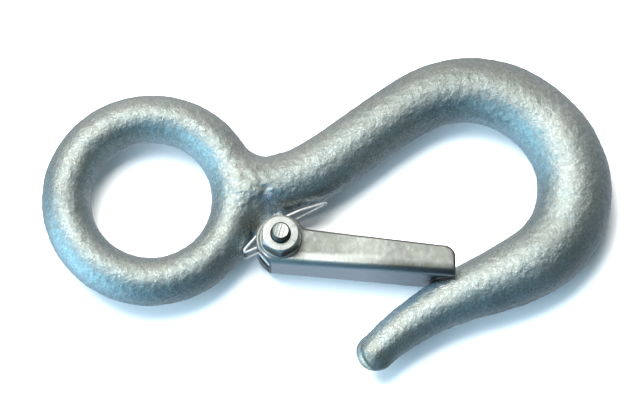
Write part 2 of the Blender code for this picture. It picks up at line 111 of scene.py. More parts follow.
# torsion spring: a loop over the neck, a coil at the pivot and two legs on the web
WIRE_R, COIL_R, COIL_SHIFT = 0.36, 4.4, (-0.7, 0.95)
COIL_Z_IN, COIL_Z_OUT = 2.85, 4.0
LOOP_ANGLE, LEG_ANGLE = math.radians(111.0), math.radians(141.0)
LOOP_TIP, LOOP_TIP_R, LOOP_WIDE = (45.5, -0.95), 0.95, (38.7, -3.8, 3.15)
LOOP_BEND_R, LEG_BEND_R, LEG_GAP = 6.0, 0.45, 0.3
LEG_BEND, LEG_RETURN = (23.2, -15.7, 2.8), (28.1, -13.5, 2.6)
LEG_ON_WEB = ((30.9, 3.2), (47.0, 3.2))  # x and z; y follows the web


# ---------------------------------------------------------------- mesh helpers
def new_object(name, data):
    obj = bpy.data.objects.new(name, data)
    bpy.context.scene.collection.objects.link(obj)
    return obj


def from_bmesh(name, build):
    mesh = bpy.data.meshes.new(name)
    build.to_mesh(mesh)
    build.free()
    return new_object(name, mesh)


def evaluated(obj):
    bpy.context.view_layer.update()
    graph = bpy.context.evaluated_depsgraph_get()
    return bpy.data.meshes.new_from_object(obj.evaluated_get(graph))


def bake(obj):
    """Apply all modifiers."""
    mesh = evaluated(obj)
    obj.modifiers.clear()
    obj.data = mesh


def drop(obj):
    bpy.data.objects.remove(obj, do_unlink=True)


def modify(obj, kind, **settings):
    modifier = obj.modifiers.new(kind.lower(), kind)
    for key, value in settings.items():
        setattr(modifier, key, value)


def bevel(obj, width, segments, angle, **settings):
    modify(obj, "BEVEL", width=width * MM, segments=segments, limit_method="ANGLE",
           angle_limit=math.radians(angle), **settings)


def cut_away(obj, cutter):
    modify(obj, "BOOLEAN", operation="DIFFERENCE", solver="EXACT", object=cutter)
    bake(obj)
    drop(cutter)


def tidy(obj, weld=0.01):
    """Weld close points, drop collapsed faces and turn the normals outwards."""
    build = bmesh.new()
    build.from_mesh(obj.data)
    bmesh.ops.remove_doubles(build, verts=build.verts, dist=weld * MM)
    bmesh.ops.dissolve_degenerate(build, edges=build.edges, dist=weld * MM)
    bmesh.ops.recalc_face_normals(build, faces=build.faces)
    build.to_mesh(obj.data)
    build.free()


def shade(obj, angle):
    """Smooth shading that keeps large flat faces flat."""
    obj.data.shade_smooth()
    obj.data.set_sharp_from_angle(angle=math.radians(angle))
    modify(obj, "WEIGHTED_NORMAL", mode="FACE_AREA", weight=50, keep_sharp=True)
    bake(obj)


def read_vectors(collection, field):
    values = np.empty(len(collection) * 3, dtype=np.float32)
    collection.foreach_get(field, values)
    return values.reshape(-1, 3).astype(float)


def read_points(mesh):
    """Vertex places in millimetres."""
    return read_vectors(mesh.vertices, "co") / MM


def write_points(mesh, points):
    mesh.vertices.foreach_set("co", (points * MM).astype(np.float32).ravel())
    mesh.update()


def cut_planes(mesh, planes):
    """Give the mesh new edges along flat planes, each a place and a normal."""
    build = bmesh.new()
    build.from_mesh(mesh)
    for place, normal in planes:
        geom = build.verts[:] + build.edges[:] + build.faces[:]
        bmesh.ops.bisect_plane(build, geom=geom, dist=0.00001, plane_co=place, plane_no=normal)
    build.to_mesh(mesh)
    build.free()


def tube_mesh(name, depth, resolution, rows):
    """A round capped tube; each row gives x, y, z and a factor on the tube's radius (depth)."""
    curve = bpy.data.curves.new(name, "CURVE")
    curve.dimensions = "3D"
    curve.bevel_depth = depth * MM
    curve.bevel_resolution = resolution
    curve.use_fill_caps = True
    spline = curve.splines.new("POLY")
    spline.points.add(len(rows) - 1)
    for point, (x, y, z, factor) in zip(spline.points, rows):
        point.co = (x * MM, y * MM, z * MM, 1.0)
        point.radius = factor
    holder = new_object(name, curve)
    mesh = evaluated(holder)
    drop(holder)
    return mesh


def turbulence(points, wavelength, offset, height=1.0):
    start = Vector(offset)
    return height * np.array([noise.noise(Vector(point) / wavelength + start)
                              for point in points])


def bell(value, width, power=2):
    """1 at zero, falling off over the given width."""
    return np.exp(-(value / width) ** power)


def catmull_rom(stations, steps):
    knots = np.array(stations, dtype=float)
    knots = np.vstack([2 * knots[0] - knots[1], knots, 2 * knots[-1] - knots[-2]])
    rows = []
    for before, here, after, beyond in zip(knots, knots[1:], knots[2:], knots[3:]):
        for k in range(steps):
            share = k / steps
            rows.append(0.5 * (2 * here + (after - before) * share
                               + (2 * before - 5 * here + 4 * after - beyond) * share * share
                               + (3 * here - before - 3 * after + beyond) * share ** 3))
    rows.append(knots[-2])
    return np.array(rows)


STOCK = catmull_rom(STOCK_STATIONS, STOCK_STEPS)


# ------------------------------------------------------------- shader helpers
def grey(value):
    return (value, value, value)


class Graph:
    """Adds nodes to a node tree. A value given to an input is a number, a tuple or a socket."""

    def __init__(self, tree):
        self.tree = tree

    def feed(self, socket, value):
        if isinstance(value, bpy.types.NodeSocket):
            self.tree.links.new(value, socket)
        elif socket.type == "RGBA" and len(value) == 3:
            socket.default_value = (*value, 1.0)
        else:
            socket.default_value = value

    def put(self, kind, inputs={}, out=0, **settings):
        """Add a node and return one of its outputs."""
        node = self.tree.nodes.new("ShaderNode" + kind)
        for key, value in settings.items():
            setattr(node, key, value)
        for key, value in inputs.items():
            self.feed(node.inputs[key], value)
        return node.outputs[out]

    def split(self, kind, value):
        """All outputs of a separating node."""
        return self.put(kind, {0: value}).node.outputs

    def mapping(self, vector, **inputs):
        return self.put("Mapping", {**inputs, "Vector": vector})

    def datum_mm(self):
        """Object coordinates in millimetres, from the drawing datum."""
        per_metre = 1000.0
        return self.mapping(self.put("TexCoord", out="Object"), Scale=grey(per_metre),
                            Location=-SHIFT * per_metre)

    def facing(self):
        """The surface normal's x, y and z."""
        return self.split("SeparateXYZ", self.put("TexCoord", out="Normal"))

    def noise(self, vector, scale, detail=2.0, roughness=0.5):
        return self.put("TexNoise", {"Scale": scale, "Detail": detail, "Roughness": roughness,
                                     "Vector": vector}, out="Fac")

    def ramp(self, value, *stops):
        """Colour ramp; each stop is a position and a colour."""
        color = self.put("ValToRGB", {"Fac": value}, out="Color")
        elements = color.node.color_ramp.elements
        while len(elements) > 1:
            elements.remove(elements[-1])
        elements[0].position = stops[0][0]
        elements[0].color = (*stops[0][1], 1.0)
        for position, tone in stops[1:]:
            elements.new(position).color = (*tone, 1.0)
        return color

    def mix(self, share, first, second, blend="MIX"):
        return self.put("Mix", {0: share, 6: first, 7: second}, out=2,
                        data_type="RGBA", blend_type=blend)

    def tint(self, color, factor):
        return self.mix(1.0, color, factor, blend="MULTIPLY")

    def math(self, operation, *values):
        return self.put("Math", dict(enumerate(values)), operation=operation)

    def vector(self, operation, *values, out=0):
        return self.put("VectorMath", dict(enumerate(values)), out, operation=operation)

    def remap(self, value, over, to=(0.0, 1.0)):
        """Carry the range `over` to the range `to`, held at both ends."""
        return self.put("MapRange", {"Value": value, "From Min": over[0], "From Max": over[1],
                                     "To Min": to[0], "To Max": to[1]}, out="Result", clamp=True)

    def bump(self, height, strength, distance, below=None):
        """Bump with its distance in millimetres, over another normal if one is given."""
        inputs = {"Strength": strength, "Distance": distance * MM, "Height": height}
        if below is not None:
            inputs["Normal"] = below
        return self.put("Bump", inputs, out="Normal")

    def crevice_shade(self, base, reach, dark, openness):
        """Painted shade: darken the colour where a neighbour closes in within reach; openness runs
        from fully shaded to unshaded.
        """
        open_sky = self.put("AmbientOcclusion", {"Distance": reach * MM}, out="AO", samples=8)
        return self.mix(self.remap(open_sky, over=openness), dark, base)


def new_material(name):
    material = bpy.data.materials.new(name)
    material.use_nodes = True
    return material, Graph(material.node_tree)


def dress(graph, base, roughness, normal, metallic=1.0):
    shader = graph.tree.nodes["Principled BSDF"]
    for name, value in (("Base Color", base), ("Metallic", metallic),
                        ("Roughness", roughness), ("Normal", normal)):
        graph.feed(shader.inputs[name], value)


# ------------------------------------------------------------------- finishes
# spots where the zinc's colour is made darker or lighter: x, y, reach, tone; among them painted
# shade and painted reflections
ZINC_TONE_AND_PAINTED_LIGHT_SPOTS = (
    (84.0, 30.0, 15.0, grey(0.76)), (66.0, 25.0, 10.0, grey(0.82)), (54.0, 17.0, 9.0, grey(0.92)),
    (105.0, -13.0, 7.0, grey(0.72)), (105.8, 19.0, 5.5, grey(1.28)), (98.0, 13.0, 8.0, grey(0.82)),
    (91.0, -29.5, 6.0, grey(0.82)), (83.0, 23.0, 4.0, grey(1.18)),
    (-22.5, 0.0, 5.0, grey(0.80)), (-16.3, 0.0, 2.6, grey(1.35)), (0.0, 17.0, 4.0, grey(1.12)),
    (19.5, -19.5, 6.0, grey(0.86)), (32.0, 4.5, 5.0, grey(0.82)),
    # painted shade in the valley between the eye and the lug, then a painted blue reflection on the
    # neck
    (25.8, -9.0, 3.6, grey(0.55)), (33.5, -6.0, 2.6, (0.84, 0.88, 0.96)),
    # a painted blue reflection on the neck
    (30.5, -2.0, 3.2, (0.95, 1.03, 1.18)),
    # a warm tint painted to take the window's blue reflection off the tip, then a darker spot
    # beside it
    (55.6, -44.2, 3.2, (1.06, 0.76, 0.60)), (61.0, -44.5, 3.2, (0.74, 0.78, 0.72)),
)
# painted shadow along the tip's trim groove and a painted highlight crescent beside it, as thin
# arcs round its end: radius, width, tone
TIP_SHADE_AND_HIGHLIGHT_ARCS = ((5.8, 0.34, grey(0.30)), (6.35, 0.26, grey(1.7)))
TIP_ARC_CENTRE = (60.5, -40.5, 0.0)
TIP_ARC_STRONGEST, TIP_ARC_REACH = (55.6, -43.3, 0.0), 3.2  # where the arcs show, and how far


def zinc_tones_and_painted_light(graph, place):
    """Slow changes of tone along the bar with spots of painted shade and reflection, and painted
    shadow and highlight arcs round the tip's end.
    """
    plan = graph.mapping(place, Scale=(1.0, 1.0, 0.0))

    def distance(point):
        return graph.vector("DISTANCE", plan, point, out="Value")

    def tone_factor(spread, tone):
        mask = graph.math("EXPONENT", graph.math("MULTIPLY", spread, -1.0))
        change = tuple(channel - 1.0 for channel in tone)
        return graph.vector("MULTIPLY_ADD", mask, change, grey(1.0))

    factors = []
    for x, y, reach, tone in ZINC_TONE_AND_PAINTED_LIGHT_SPOTS:
        gap = graph.math("DIVIDE", distance((x, y, 0.0)), reach)
        factors.append(tone_factor(graph.math("POWER", gap, 2.0), tone))
    # painted shadow and highlight arcs round the tip's end
    for radius, width, tone in TIP_SHADE_AND_HIGHLIGHT_ARCS:
        off = graph.math("DIVIDE", graph.math("SUBTRACT", distance(TIP_ARC_CENTRE), radius), width)
        aside = graph.math("DIVIDE", distance(TIP_ARC_STRONGEST), TIP_ARC_REACH)
        spread = graph.math("ADD", graph.math("MULTIPLY", off, off),
                            graph.math("MULTIPLY", aside, aside))
        factors.append(tone_factor(spread, tone))
    total = factors[0]
    for factor in factors[1:]:
        total = graph.vector("MULTIPLY", total, factor)
    return total


def galvanised_finish():
    """Hot-dip zinc over a forged skin: fine grains, faint spangle, brighter crests."""
    material, graph = new_material("galvanised_zinc")
    place = graph.datum_mm()
    grain = graph.noise(place, scale=1.5, detail=5.0, roughness=0.62)
    fine = graph.noise(place, scale=3.4, detail=3.0, roughness=0.6)
    patch = graph.noise(place, scale=0.16, detail=3.0, roughness=0.55)
    spangle = graph.split("SeparateColor", graph.put(
        "TexVoronoi", {"Scale": 1.15, "Vector": place}, out="Color", feature="F1"))
    cool = graph.ramp(grain, (0.30, (0.46, 0.50, 0.49)), (0.50, (0.56, 0.605, 0.59)),
                      (0.70, (0.66, 0.71, 0.69)))
    warm = graph.ramp(grain, (0.30, (0.48, 0.49, 0.465)), (0.50, (0.58, 0.60, 0.57)),
                      (0.70, (0.68, 0.70, 0.67)))
    base = graph.mix(graph.remap(patch, over=(0.38, 0.62)), cool, warm)
    crystal = graph.remap(spangle[0], over=(0.0, 1.0), to=(0.92, 1.07))
    base = graph.tint(base, graph.put("CombineColor", {0: crystal, 1: crystal, 2: crystal}))
    # tone spots along the bar, among them painted shade, painted reflections and the tip's painted
    # arcs
    base = graph.tint(base, zinc_tones_and_painted_light(graph, place))
    # painted shade where other surfaces close in
    base = graph.crevice_shade(base, reach=2.2, dark=(0.13, 0.14, 0.14), openness=(0.15, 0.75))
    roughness = graph.math("ADD", graph.remap(grain, over=(0.3, 0.7), to=(0.34, 0.22)),
                           graph.remap(spangle[1], over=(0.0, 1.0), to=(-0.05, 0.05)))
    normal = graph.bump(grain, strength=0.9, distance=0.22)
    normal = graph.bump(fine, strength=0.8, distance=0.08, below=normal)
    dress(graph, base, roughness, normal)
    return material


def cheek_color(graph, place, x, y, above, mottle):
    """Dull from tumbling, with a painted highlight strip along the fold and painted shade beside
    the web.
    """
    stretched = graph.mapping(place, Scale=(0.55, 0.16, 0.5))
    bands = graph.noise(stretched, scale=1.0, detail=2.0, roughness=0.5)
    cheek = graph.ramp(mottle, (0.32, (0.255, 0.25, 0.24)), (0.5, (0.305, 0.30, 0.285)),
                       (0.68, (0.36, 0.36, 0.345)))
    cheek = graph.mix(graph.remap(bands, over=(0.42, 0.62), to=(0.0, 0.6)), cheek,
                      (0.285, 0.295, 0.255))
    # brightness along the latch
    along = graph.ramp(graph.remap(x, over=(40.0, 80.0)), (0.0, grey(0.90)), (0.2, grey(0.98)),
                       (0.38, grey(1.25)), (0.62, grey(1.0)), (1.0, grey(0.95)))
    cheek = graph.tint(cheek, along)
    # painted highlight strip: a sloping level with a wavering edge, fading out towards the end
    slope, waver = 0.045, 1.1
    level = graph.math("ADD", graph.math("MULTIPLY_ADD", x, slope, y),
                       graph.math("MULTIPLY", graph.math("SUBTRACT", mottle, 0.5), waver))
    fold_highlight_strip = graph.math("MULTIPLY", graph.remap(level, over=(-13.9, -14.7)),
                        graph.remap(x, over=(48.0, 64.0), to=(1.0, 0.0)))
    cheek = graph.mix(fold_highlight_strip, cheek, (0.60, 0.61, 0.59))
    # painted shade: a dark strip beside the web, growing towards the end
    fold_shade_strip = graph.math("MULTIPLY", graph.remap(above, over=(1.5, 3.3), to=(1.0, 0.0)),
                       graph.remap(x, over=(50.0, 66.0)))
    return graph.mix(fold_shade_strip, cheek, (0.085, 0.092, 0.085))


def sheet_finish():
    """Stamped zinc-plated sheet: satin, soft mottling, no polish."""
    material, graph = new_material("latch_sheet_zinc")
    place = graph.datum_mm()
    x, y, z = graph.split("SeparateXYZ", place)
    facing = graph.facing()
    square_on = (0.80, 0.97)  # how directly a face looks along an axis
    on_cheek, on_web = (graph.remap(graph.math("ABSOLUTE", facing[axis]), over=square_on)
                        for axis in (2, 1))
    mottle = graph.noise(place, scale=0.55, detail=4.0, roughness=0.55)
    fine = graph.noise(place, scale=5.0, detail=2.0, roughness=0.5)
    # height over the web's outer face, along +Y
    above = graph.math("MULTIPLY_ADD", x, -WEB_SLOPE,
                       graph.math("SUBTRACT", y, WEB_START[1] - WEB_SLOPE * WEB_START[0]))
    cheek = cheek_color(graph, place, x, y, above, mottle)
    # the fold itself, darker towards where the cheeks flare
    fold = graph.ramp(graph.remap(x, over=(34.0, 76.0)), (0.0, (0.60, 0.56, 0.52)),
                      (0.5, (0.38, 0.355, 0.335)), (1.0, (0.11, 0.10, 0.095)))
    web = graph.ramp(graph.remap(x, over=(36.0, 74.0)), (0.0, (0.62, 0.63, 0.62)),
                     (0.5, (0.66, 0.65, 0.68)), (0.74, (0.42, 0.44, 0.46)),
                     (1.0, (0.24, 0.25, 0.27)))
    web = graph.mix(graph.remap(mottle, over=(0.3, 0.7), to=(0.0, 0.22)), web,
                    (0.42, 0.43, 0.43))
    base = graph.mix(on_web, graph.mix(on_cheek, fold, cheek), web)
    # painted shade: the channel's inside is coloured dark, on cheeks that face z = 0 and on the
    # web's +Y side
    inner_cheek = graph.math("LESS_THAN", graph.math("MULTIPLY", facing[2], z), -1.0)
    inner_web = graph.math("MULTIPLY", graph.math("GREATER_THAN", facing[1], 0.5),
                           graph.math("LESS_THAN", above, 1.8))
    base = graph.mix(graph.math("MAXIMUM", inner_cheek, inner_web), base, (0.11, 0.112, 0.11))
    # painted shade where other surfaces close in
    base = graph.crevice_shade(base, reach=2.4, dark=(0.03, 0.03, 0.028), openness=(0.22, 0.80))
    roughness = graph.math("ADD", graph.remap(mottle, over=(0.3, 0.7), to=(0.33, 0.26)),
                           graph.remap(fine, over=(0.3, 0.7), to=(-0.02, 0.03)))
    normal = graph.bump(mottle, strength=0.30, distance=0.20)
    normal = graph.bump(fine, strength=0.10, distance=0.02, below=normal)
    dress(graph, base, roughness, normal)
    return material


def edge_finish():
    """The sheared edge of the sheet: mottled and dull, with a painted highlight round the ears."""
    material, graph = new_material("latch_sheared_edge")
    place = graph.datum_mm()
    streak = graph.noise(place, scale=2.6, detail=4.0, roughness=0.6)
    x, y, _ = graph.split("SeparateXYZ", place)
    ear_edge_highlight = graph.ramp(streak, (0.3, (0.34, 0.33, 0.32)), (0.7, (0.52, 0.51, 0.50)))
    dull = graph.ramp(streak, (0.3, (0.15, 0.138, 0.135)), (0.7, (0.24, 0.222, 0.216)))
    # painted highlight: the edge is lighter round the ears and dull away from them
    away = graph.math("MAXIMUM", graph.remap(x, over=(36.0, 41.0)),
                      graph.remap(y, over=(-14.5, -16.0)))
    base = graph.mix(away, ear_edge_highlight, dull)
    # painted shade where other surfaces close in
    base = graph.crevice_shade(base, reach=0.9, dark=(0.03, 0.03, 0.028), openness=(0.25, 0.7))
    dress(graph, base, graph.remap(streak, over=(0.3, 0.7), to=(0.5, 0.38)),
          graph.bump(streak, strength=0.35, distance=0.05))
    return material


def hardware_finish(name, light, roughness, side_shade, reach, openness):
    """Bright zinc plate with turning rings round the pivot axis.

    The flats' tone against the faced top is painted shade; reach and openness set the painted
    crevice shade.
    """
    material, graph = new_material(name)
    place = graph.datum_mm()
    centre = graph.mapping(place, Location=(-PIVOT[0], -PIVOT[1], 0.0))
    rings = graph.put("TexWave", {"Scale": 1.6, "Distortion": 0.8, "Detail": 2.0,
                                  "Vector": centre}, out="Fac",
                      wave_type="RINGS", rings_direction="Z")
    cloud = graph.noise(place, scale=0.9, detail=3.0, roughness=0.55)
    tones = [tuple(light * channel for channel in tone)
             for tone in ((0.86, 0.86, 0.84), (1.0, 1.0, 0.985))]
    base = graph.ramp(cloud, (0.3, tones[0]), (0.7, tones[1]))
    # painted shade: faces turned away from the axis, the flats and edges, are darker than the faced
    # tops
    level = graph.remap(graph.math("ABSOLUTE", graph.facing()[2]), over=(0.3, 0.85))
    base = graph.mix(level, graph.tint(base, grey(side_shade)), base)
    # painted shade where other surfaces close in, round the nut, washer and screw
    base = graph.crevice_shade(base, reach=reach, dark=(0.035, 0.035, 0.033), openness=openness)
    normal = graph.bump(rings, strength=0.10, distance=0.03)
    normal = graph.bump(cloud, strength=0.12, distance=0.08, below=normal)
    dress(graph, base, graph.remap(cloud, over=(0.3, 0.7), to=roughness), normal)
    return material


def thread_finish():
    """Rolled thread, very dark: partly oil, partly painted shade round the stub."""
    material, graph = new_material("thread_dark")
    cloud = graph.noise(graph.datum_mm(), scale=2.4, detail=4.0, roughness=0.6)
    base = graph.ramp(cloud, (0.3, (0.07, 0.068, 0.062)), (0.7, (0.20, 0.195, 0.18)))
    dress(graph, base, graph.remap(cloud, over=(0.3, 0.7), to=(0.5, 0.36)),
          graph.bump(cloud, strength=0.3, distance=0.04))
    return material


def wire_finish():
    """Drawn spring wire: pale satin, finely uneven and a little darker in places, with painted
    shade where it lies close to other parts.
    """
    material, graph = new_material("spring_wire_bright")
    place = graph.datum_mm()
    cloud = graph.noise(place, scale=1.2, detail=3.0, roughness=0.55)
    base = graph.ramp(cloud, (0.32, (0.66, 0.655, 0.63)), (0.6, (0.88, 0.88, 0.86)))
    # painted shade where the wire lies close to other parts
    base = graph.crevice_shade(base, reach=0.6, dark=(0.06, 0.06, 0.055), openness=(0.2, 0.75))
    fine = graph.noise(place, scale=6.0, detail=2.0)
    dress(graph, base, graph.remap(cloud, over=(0.3, 0.7), to=(0.50, 0.38)),
          graph.bump(fine, strength=0.15, distance=0.03), metallic=0.72)
    return material


# ---------------------------------------------------------------- the forging
# Each field gives the signed distance of points from a shape, and its gradient.
def smooth_union(first, second, fillet):
    (value_a, slope_a), (value_b, slope_b) = first, second
    share = np.clip(0.5 + 0.5 * (value_b - value_a) / fillet, 0.0, 1.0)
    value = value_b + (value_a - value_b) * share - fillet * share * (1.0 - share)
    return value, slope_a * share[:, None] + slope_b * (1.0 - share)[:, None]


def stock_field(points):
    """The bar: an ellipse swept along the smoothed stations."""
    starts, segments = STOCK[:-1, :2], STOCK[1:, :2] - STOCK[:-1, :2]
    widths, next_widths = STOCK[:-1, 2], STOCK[1:, 2]
    lengths2 = (segments ** 2).sum(axis=1)
    nearest2 = np.full(len(points), 1e9)
    width = np.zeros(len(points))
    offset = np.zeros((len(points), 2))
    for i, segment in enumerate(segments):
        rel = points[:, :2] - starts[i]
        share = np.clip((rel @ segment) / lengths2[i], 0.0, 1.0)
        off = rel - share[:, None] * segment
        gap2 = (off ** 2).sum(axis=1)
        closer = gap2 < nearest2
        nearest2 = np.where(closer, gap2, nearest2)
        width = np.where(closer, widths[i] + share * (next_widths[i] - widths[i]), width)
        offset[closer] = off[closer]
    tall = points[:, 2] / Z_RATIO
    radius = np.maximum(np.sqrt(nearest2 + tall ** 2), 1e-6)
    lean = np.abs(tall) / radius
    scale = 1.0 - (1.0 - Z_RATIO) * lean
    slope = np.column_stack([offset, points[:, 2] / Z_RATIO ** 2])
    return (radius - width) * scale, slope / radius[:, None] * scale[:, None]


def eye_field(points):
    """The eye: a torus round the datum."""
    x, y, z = points.T
    flat = np.maximum(np.hypot(x, y), 1e-6)
    tube = np.maximum(np.sqrt((flat - EYE_R) ** 2 + z ** 2), 1e-6)
    out = (flat - EYE_R) / tube
    return tube - EYE_SECTION_R, np.column_stack([out * x / flat, out * y / flat, z / tube])


def lug_value(points):
    """The lug: a flat tapering bar with rounded edges."""
    root = np.array(LUG_ROOT)
    segment = np.array(PIVOT) - root
    rel = points[:, :2] - root
    share = np.clip((rel @ segment) / (segment @ segment), 0.0, 1.0)
    flat = np.sqrt(((rel - share[:, None] * segment) ** 2).sum(axis=1))
    flat -= LUG_ROOT_R + share * (LUG_R - LUG_ROOT_R)
    tall = np.abs(points[:, 2]) - LUG_HALF_T
    outside = np.hypot(np.maximum(flat + LUG_EDGE_R, 0.0), np.maximum(tall + LUG_EDGE_R, 0.0))
    return outside + np.minimum(np.maximum(flat, tall) + LUG_EDGE_R, 0.0) - LUG_EDGE_R


def lug_field(points):
    slope = np.zeros_like(points)
    for axis in range(3):
        step = np.zeros(3)
        step[axis] = 0.01
        slope[:, axis] = (lug_value(points + step) - lug_value(points - step)) / 0.02
    return lug_value(points), slope


def forging_field(points):
    body = smooth_union(eye_field(points), stock_field(points), NECK_FILLET)
    return smooth_union(body, lug_field(points), LUG_FILLET)


def settle(mesh):
    """Move the vertices onto the exact surface and bore; return places and pivot distances."""
    margin, farthest, damping = 0.3, 0.6, 0.95
    points = read_points(mesh)
    off = points[:, :2] - np.array(PIVOT)
    reach = np.hypot(off[:, 0], off[:, 1])
    bore = (reach < BORE_R + margin) & (np.abs(points[:, 2]) < LUG_HALF_T + margin)
    found = points.copy()
    for _ in range(4):
        value, slope = forging_field(found)
        steepness2 = np.maximum((slope ** 2).sum(axis=1), 0.1)
        found -= slope * (value / steepness2)[:, None] * damping
    moved = np.linalg.norm(found - points, axis=1)
    cap = np.minimum(1.0, farthest / np.maximum(moved, 1e-9))
    points = points + (found - points) * cap[:, None] * (~bore)[:, None]
    outward = off[bore] / np.maximum(reach[bore], 1e-6)[:, None]
    points[bore, :2] = np.array(PIVOT) + outward * BORE_R
    write_points(mesh, points)
    return points, reach


def neck_lumps(points, pits, grain):
    """The neck was drawn out hot, so it is lumpier."""
    neck = np.exp(-(((points[:, 0] - 28.0) / 8.0) ** 2 + ((points[:, 1] - 1.0) / 7.5) ** 2))
    near = neck > 0.03
    height = np.zeros(len(points))
    height[near] = (neck * (0.12 * pits + 0.06 * grain))[near] + neck[near] * turbulence(
        points[near], wavelength=2.5, offset=(1, 6, 4), height=0.22)
    return height


def neck_lap(points, normal):
    """A wavering groove across the neck, on the +Z side."""
    start, end = np.array((24.0, -3.9)), np.array((32.8, 3.2))
    width, depth = 0.45, 0.30
    line = end - start
    rel = points[:, :2] - start
    along = (rel @ line) / (line @ line)
    off = np.abs(rel[:, 0] * line[1] - rel[:, 1] * line[0]) / np.hypot(*line)
    fade = np.clip(np.minimum(along + 0.1, 1.1 - along) / 0.25, 0.0, 1.0)
    near = (off < 2.0) & (fade > 0) & (normal[:, 2] > 0.1)
    off = off[near] + turbulence(points[near], wavelength=2.0, offset=(4, 4, 9), height=0.45)
    comes = 0.55 + turbulence(points[near], wavelength=1.6, offset=(7, 2, 2), height=0.9)
    height = np.zeros(len(points))
    height[near] = -depth * bell(off, width) * fade[near] * comes
    return height


def tip_trim(points, side):
    """At the tip's end: a raised land round z = 0 with a groove on either side of it."""
    end, back = STOCK[-1, :2], STOCK[-8, :2]
    rel = points[:, :2] - end
    along = rel @ ((end - back) / np.linalg.norm(end - back))
    at_tip = np.clip((along + 2.5) / 3.0, 0.0, 1.0) * (np.linalg.norm(rel, axis=1) < 9.0)
    tall = np.abs(points[:, 2])
    land = 0.34 * bell(tall - 0.6, 1.0, power=4)
    groove = 0.50 * bell(tall - 2.2, 0.50)
    return at_tip * side * (land - groove)


def forged_skin(points, normal):
    """Height of the forged and galvanised relief at every point."""
    side = np.clip((1.0 - np.abs(normal[:, 2]) - 0.35) / 0.4, 0.0, 1.0)
    # slow unevenness of a hammered-out bar, then the granular zinc over it
    height = turbulence(points, wavelength=11.0, offset=(0, 0, 0), height=0.10)
    height += turbulence(points, wavelength=4.3, offset=(9, 4, 2), height=0.06)
    pits = turbulence(points, wavelength=1.7, offset=(3, 7, 1))
    grain = turbulence(points, wavelength=0.95, offset=(5, 1, 8))
    height += 0.090 * pits + 0.072 * grain
    height += neck_lumps(points, pits, grain)
    height += neck_lap(points, normal)
    # flash line where the two dies met, trimmed by hand, so it comes and goes
    comes = 0.70 + turbulence(points, wavelength=6.0, offset=(8, 3, 3), height=0.55)
    height += 0.20 * bell(points[:, 2], 0.36) * comes * side
    return height + tip_trim(points, side)


def make_forging(finish):
    """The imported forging's own surface, made even and fine, then given its forged skin."""
    obj = new_object("forging_skin", frame["nodes"]["hook_forging"].data.copy())
    obj.data.transform(Matrix.Translation(-SHIFT))
    obj.data.materials.clear()
    modify(obj, "REMESH", mode="VOXEL", voxel_size=0.48 * MM)
    bake(obj)
    settle(obj.data)
    # the narrow flash line needs vertices of its own
    cut_planes(obj.data, [((0, 0, z * MM), (0, 0, 1)) for z in (-0.5, -0.22, 0.0, 0.22, 0.5)])
    points, reach = settle(obj.data)
    normal = read_vectors(obj.data.vertex_normals, "vector")
    # the bore and its rim stay smooth
    calm = np.where(np.abs(points[:, 2]) < LUG_HALF_T + 0.6,
                    np.clip((reach - BORE_R - 0.2) / 1.5, 0.0, 1.0), 1.0)
    points += normal * (forged_skin(points, normal) * calm)[:, None]
    write_points(obj.data, points)
    obj.data.shade_smooth()
    obj.data.materials.append(finish)
    return obj


# ------------------------------------------------------------------ the latch
def half_width(x):
    share = max(0.0, x - FLARE_START_X) / (WEB_END[0] - FLARE_START_X)
    return EAR_HALF_W + share * (END_HALF_W - EAR_HALF_W)


def web_y(x):
    share = (x - WEB_START[0]) / (WEB_END[0] - WEB_START[0])
    return WEB_START[1] + share * (WEB_END[1] - WEB_START[1])


def cheek_top_y(x):
    share = (x - CHEEK_TOP_START[0]) / (WEB_END[0] - CHEEK_TOP_START[0])
    return CHEEK_TOP_START[1] + share * (CHEEK_TOP_END_Y - CHEEK_TOP_START[1])


def arc_point(centre, radius, angle):
    return (centre[0] + radius * math.cos(angle), centre[1] + radius * math.sin(angle))


def cheek_outline():
    """From the ear's tangent to the web, round the ear, along the top to the end corner."""
    rear_x, rear_y = WEB_START[0] - PIVOT[0], WEB_START[1] - PIVOT[1]
    tangent = math.atan2(rear_y, rear_x) - math.acos(EAR_R / math.hypot(rear_x, rear_y))
    first = tangent % (2 * math.pi)
    last = math.atan2(CHEEK_TOP_START[1] - PIVOT[1], CHEEK_TOP_START[0] - PIVOT[0])
    points = [arc_point(PIVOT, EAR_R, first + (last - first) * k / EAR_STEPS)
              for k in range(EAR_STEPS + 1)]
    points.append((FLARE_START_X, cheek_top_y(FLARE_START_X)))
    corner_x = WEB_END[0] - CHEEK_CORNER_R
    corner = (corner_x, cheek_top_y(corner_x) - CHEEK_CORNER_R)
    points += [arc_point(corner, CHEEK_CORNER_R, math.pi / 2 - k * math.pi / (2 * CORNER_STEPS))
               for k in range(CORNER_STEPS + 1)]
    return points


def tip_room():
    """The bar near the tip, grown by the room the latch leaves round it."""
    first = STOCK_STEPS * TIP_ROOM_STATION
    rows = [(x, y, 0.0, width + TIP_ROOM) for x, y, width in STOCK[first:]]
    end, before = STOCK[-1], STOCK[-2]
    along = (end[:2] - before[:2]) / np.hypot(*(end[:2] - before[:2]))
    # a rounded end, stopped just short of its pole
    for k in range(1, 7):
        angle = k * math.pi / 2 / 6.4
        rows.append((end[0] + along[0] * end[2] * math.sin(angle),
                     end[1] + along[1] * end[2] * math.sin(angle), 0.0,
                     end[2] * math.cos(angle) + TIP_ROOM))
    obj = new_object("tip_room", tube_mesh("tip_room_path", 1.0, 14, rows))
    tidy(obj)
    obj.data.transform(Matrix.Diagonal((1.0, 1.0, Z_RATIO, 1.0)))
    return obj


